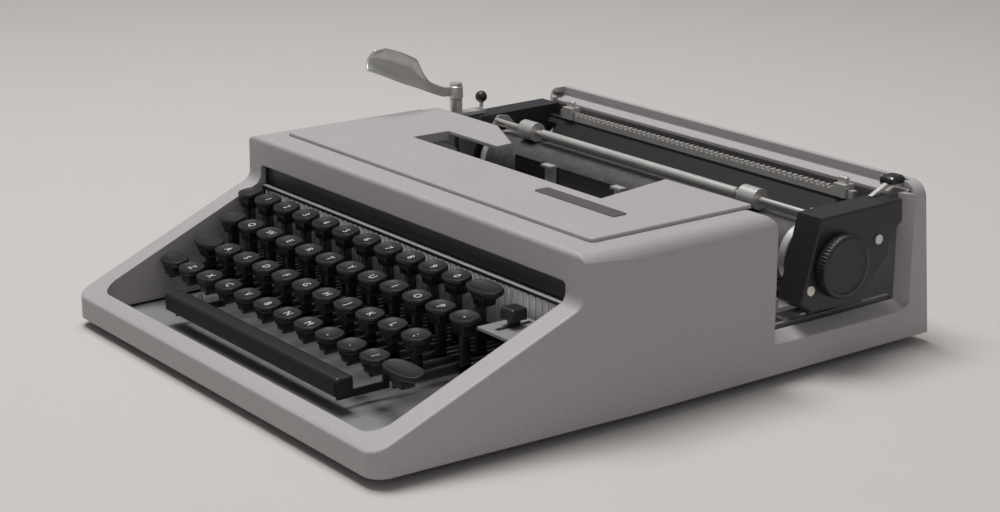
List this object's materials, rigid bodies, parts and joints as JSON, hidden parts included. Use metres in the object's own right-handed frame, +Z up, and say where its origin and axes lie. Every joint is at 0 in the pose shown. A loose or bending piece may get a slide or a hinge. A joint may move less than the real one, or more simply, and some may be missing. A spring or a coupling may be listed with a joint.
{
  "type": "typewriter",
  "caption": "Flat portable manual typewriter: moulded housing with sloped keyboard well, lift-off cover, sliding carriage with platen, return lever, bail and stops.",
  "frame": {"origin": "centre of the footprint on the table, under the feet", "axes": "+Z up, +Y towards the rear (front lip at -Y), +X towards the typist's right"},
  "size_m": [0.304, 0.335, 0.1256],
  "materials": {
    "casing_plastic": "fine moulded texture",
    "black_plastic": "satin",
    "key_plastic": "semi-gloss",
    "foot_rubber": "matt",
    "platen_rubber": "matt",
    "inked_ribbon": "woven and inked",
    "badge_metal": "brushed",
    "bright_steel": "satin nickel",
    "frame_steel": "dark satin"
  },
  "bodies": {
    "frame": {"casing": "casing_plastic", "base_pan": "frame_steel", "rubber_feet": "foot_rubber", "casing_screws": "bright_steel", "frame_side_plates": "frame_steel", "frame_cross_bars": "frame_steel", "carriage_rails": "bright_steel", "fulcrum_rod": "bright_steel", "front_baffle": "black_plastic", "segment": "frame_steel", "typebar_rest": "frame_steel", "typebars": "frame_steel", "spool_shelves": "frame_steel", "ribbon_guide": "bright_steel", "ribbon": "inked_ribbon", "mainspring_drum": "bright_steel", "margin_bell": "bright_steel", "escapement_wheel": "bright_steel", "selector_plate": "frame_steel"},
    "cover": {"top_cover": "casing_plastic", "badge": "badge_metal"},
    "left_spool": {"ribbon_spool_left": "bright_steel"},
    "right_spool": {"ribbon_spool_right": "bright_steel"},
    "margin_release": {"margin_release_key": "key_plastic"},
    "number_row": {"number_row_keys": "key_plastic"},
    "backspace": {"backspace_key": "key_plastic"},
    "upper_row": {"upper_row_keys": "key_plastic"},
    "lower_row": {"lower_row_keys": "key_plastic"},
    "shift_lock": {"shift_lock_key": "key_plastic"},
    "shift": {"shift_key_left": "key_plastic", "shift_key_right": "key_plastic"},
    "spacer": {"space_bar": "key_plastic"},
    "selector": {"ribbon_selector": "key_plastic"},
    "carriage": {"carriage_bed": "frame_steel", "carriage_end_plates": "black_plastic", "end_covers": "black_plastic", "end_cover_screws": "bright_steel", "paper_table": "black_plastic", "margin_rack": "bright_steel", "lever_post": "bright_steel"},
    "platen_roll": {"platen": "platen_rubber", "platen_knobs": "black_plastic"},
    "feed": {"feed_rollers": "platen_rubber"},
    "bail": {"paper_bail": "bright_steel"},
    "bail_wheels": {"bail_rollers": "bright_steel"},
    "left_stop": {"margin_stop_left": "bright_steel"},
    "right_stop": {"margin_stop_right": "bright_steel"},
    "line_lever": {"return_lever": "bright_steel"},
    "release_lever": {"carriage_release_lever": "bright_steel"},
    "paper_lever": {"paper_release_lever": "bright_steel"},
    "home_01": {"home_row_key_01": "key_plastic"},
    "home_02": {"home_row_key_02": "key_plastic"},
    "home_03": {"home_row_key_03": "key_plastic"},
    "home_04": {"home_row_key_04": "key_plastic"},
    "home_05": {"home_row_key_05": "key_plastic"},
    "home_06": {"home_row_key_06": "key_plastic"},
    "home_07": {"home_row_key_07": "key_plastic"},
    "home_08": {"home_row_key_08": "key_plastic"},
    "home_09": {"home_row_key_09": "key_plastic"},
    "home_10": {"home_row_key_10": "key_plastic"}
  },
  "joints": [
    {"name": "carriage_slide", "type": "slide", "parent": "frame", "child": "carriage", "axis": [-1, 0, 0], "range_m": [-0.11, 0.11]},
    {"name": "cover_lift", "type": "slide", "parent": "frame", "child": "cover", "axis": [0, 0, 1], "range_m": [0, 0.06]},
    {"name": "left_spool_turn", "type": "hinge", "parent": "frame", "child": "left_spool", "pos_m": [-0.095, 0.0175, 0.067], "axis": [0, 0, 1], "continuous": true},
    {"name": "right_spool_turn", "type": "hinge", "parent": "frame", "child": "right_spool", "pos_m": [0.095, 0.0175, 0.067], "axis": [0, 0, 1], "continuous": true},
    {"name": "margin_release_press", "type": "hinge", "parent": "frame", "child": "margin_release", "pos_m": [0, 0.0375, 0.022], "axis": [1, 0, 0], "range_deg": [0, 3.4], "stiffness_Nm_per_rad": 0.15, "springref_deg": -17.19},
    {"name": "number_row_press", "type": "hinge", "parent": "frame", "child": "number_row", "pos_m": [0, 0.0375, 0.022], "axis": [1, 0, 0], "range_deg": [0, 3.4], "stiffness_Nm_per_rad": 1.5, "springref_deg": -17.19},
    {"name": "backspace_press", "type": "hinge", "parent": "frame", "child": "backspace", "pos_m": [0, 0.0375, 0.022], "axis": [1, 0, 0], "range_deg": [0, 3.4], "stiffness_Nm_per_rad": 0.15, "springref_deg": -17.19},
    {"name": "upper_row_press", "type": "hinge", "parent": "frame", "child": "upper_row", "pos_m": [0, 0.0375, 0.022], "axis": [1, 0, 0], "range_deg": [0, 3.9], "stiffness_Nm_per_rad": 1.5, "springref_deg": -17.19},
    {"name": "lower_row_press", "type": "hinge", "parent": "frame", "child": "lower_row", "pos_m": [0, 0.0375, 0.022], "axis": [1, 0, 0], "range_deg": [0, 4], "stiffness_Nm_per_rad": 1.5, "springref_deg": -17.19},
    {"name": "shift_lock_press", "type": "hinge", "parent": "frame", "child": "shift_lock", "pos_m": [0, 0.0375, 0.022], "axis": [1, 0, 0], "range_deg": [0, 3], "stiffness_Nm_per_rad": 0.15, "springref_deg": -17.19},
    {"name": "shift_press", "type": "hinge", "parent": "frame", "child": "shift", "pos_m": [0, 0.0375, 0.022], "axis": [1, 0, 0], "range_deg": [0, 4], "stiffness_Nm_per_rad": 0.4, "springref_deg": -17.19},
    {"name": "spacer_press", "type": "hinge", "parent": "frame", "child": "spacer", "pos_m": [0, 0.0375, 0.022], "axis": [1, 0, 0], "range_deg": [0, 1.4], "stiffness_Nm_per_rad": 0.6, "springref_deg": -17.19},
    {"name": "home_01_press", "type": "hinge", "parent": "frame", "child": "home_01", "pos_m": [0, 0.0375, 0.022], "axis": [1, 0, 0], "range_deg": [0, 4.2], "stiffness_Nm_per_rad": 0.15, "springref_deg": -17.19},
    {"name": "home_02_press", "type": "hinge", "parent": "frame", "child": "home_02", "pos_m": [0, 0.0375, 0.022], "axis": [1, 0, 0], "range_deg": [0, 4.2], "stiffness_Nm_per_rad": 0.15, "springref_deg": -17.19},
    {"name": "home_03_press", "type": "hinge", "parent": "frame", "child": "home_03", "pos_m": [0, 0.0375, 0.022], "axis": [1, 0, 0], "range_deg": [0, 4.2], "stiffness_Nm_per_rad": 0.15, "springref_deg": -17.19},
    {"name": "home_04_press", "type": "hinge", "parent": "frame", "child": "home_04", "pos_m": [0, 0.0375, 0.022], "axis": [1, 0, 0], "range_deg": [0, 4.2], "stiffness_Nm_per_rad": 0.15, "springref_deg": -17.19},
    {"name": "home_05_press", "type": "hinge", "parent": "frame", "child": "home_05", "pos_m": [0, 0.0375, 0.022], "axis": [1, 0, 0], "range_deg": [0, 4.2], "stiffness_Nm_per_rad": 0.15, "springref_deg": -17.19},
    {"name": "home_06_press", "type": "hinge", "parent": "frame", "child": "home_06", "pos_m": [0, 0.0375, 0.022], "axis": [1, 0, 0], "range_deg": [0, 4.2], "stiffness_Nm_per_rad": 0.15, "springref_deg": -17.19},
    {"name": "home_07_press", "type": "hinge", "parent": "frame", "child": "home_07", "pos_m": [0, 0.0375, 0.022], "axis": [1, 0, 0], "range_deg": [0, 4.2], "stiffness_Nm_per_rad": 0.15, "springref_deg": -17.19},
    {"name": "home_08_press", "type": "hinge", "parent": "frame", "child": "home_08", "pos_m": [0, 0.0375, 0.022], "axis": [1, 0, 0], "range_deg": [0, 4.2], "stiffness_Nm_per_rad": 0.15, "springref_deg": -17.19},
    {"name": "home_09_press", "type": "hinge", "parent": "frame", "child": "home_09", "pos_m": [0, 0.0375, 0.022], "axis": [1, 0, 0], "range_deg": [0, 4.2], "stiffness_Nm_per_rad": 0.15, "springref_deg": -17.19},
    {"name": "home_10_press", "type": "hinge", "parent": "frame", "child": "home_10", "pos_m": [0, 0.0375, 0.022], "axis": [1, 0, 0], "range_deg": [0, 4.2], "stiffness_Nm_per_rad": 0.15, "springref_deg": -17.19},
    {"name": "selector_shift", "type": "slide", "parent": "frame", "child": "selector", "axis": [0, 1, 0], "range_m": [-0.005, 0.005]},
    {"name": "platen_turn", "type": "hinge", "parent": "carriage", "child": "platen_roll", "pos_m": [0, 0.1005, 0.0529], "axis": [1, 0, 0], "continuous": true},
    {"name": "feed_turn", "type": "hinge", "parent": "carriage", "child": "feed", "pos_m": [0, 0.0901, 0.0357], "axis": [1, 0, 0], "continuous": true},
    {"name": "bail_swing", "type": "hinge", "parent": "carriage", "child": "bail", "pos_m": [0, 0.1205, 0.055], "axis": [-1, 0, 0], "range_deg": [0, 45]},
    {"name": "bail_wheel_turn", "type": "hinge", "parent": "bail", "child": "bail_wheels", "pos_m": [0, 0.098, 0.0748], "axis": [1, 0, 0], "continuous": true},
    {"name": "left_stop_slide", "type": "slide", "parent": "carriage", "child": "left_stop", "axis": [1, 0, 0], "range_m": [0, 0.09]},
    {"name": "right_stop_slide", "type": "slide", "parent": "carriage", "child": "right_stop", "axis": [-1, 0, 0], "range_m": [0, 0.09]},
    {"name": "return_swing", "type": "hinge", "parent": "carriage", "child": "line_lever", "pos_m": [-0.137, 0.0755, 0.093], "axis": [0, 0, -1], "range_deg": [-35, 0], "stiffness_Nm_per_rad": 0.1, "springref_deg": 17.19},
    {"name": "release_tilt", "type": "hinge", "parent": "carriage", "child": "release_lever", "pos_m": [-0.137, 0.0935, 0.0818], "axis": [-1, 0, 0], "range_deg": [0, 25]},
    {"name": "paper_tilt", "type": "hinge", "parent": "carriage", "child": "paper_lever", "pos_m": [0.133, 0.1345, 0.0792], "axis": [1, 0, 0], "range_deg": [0, 25]}
  ],
  "couplings": [
    {"joint": "feed_turn", "follows": "platen_turn", "ratio": -4.5}
  ]
}
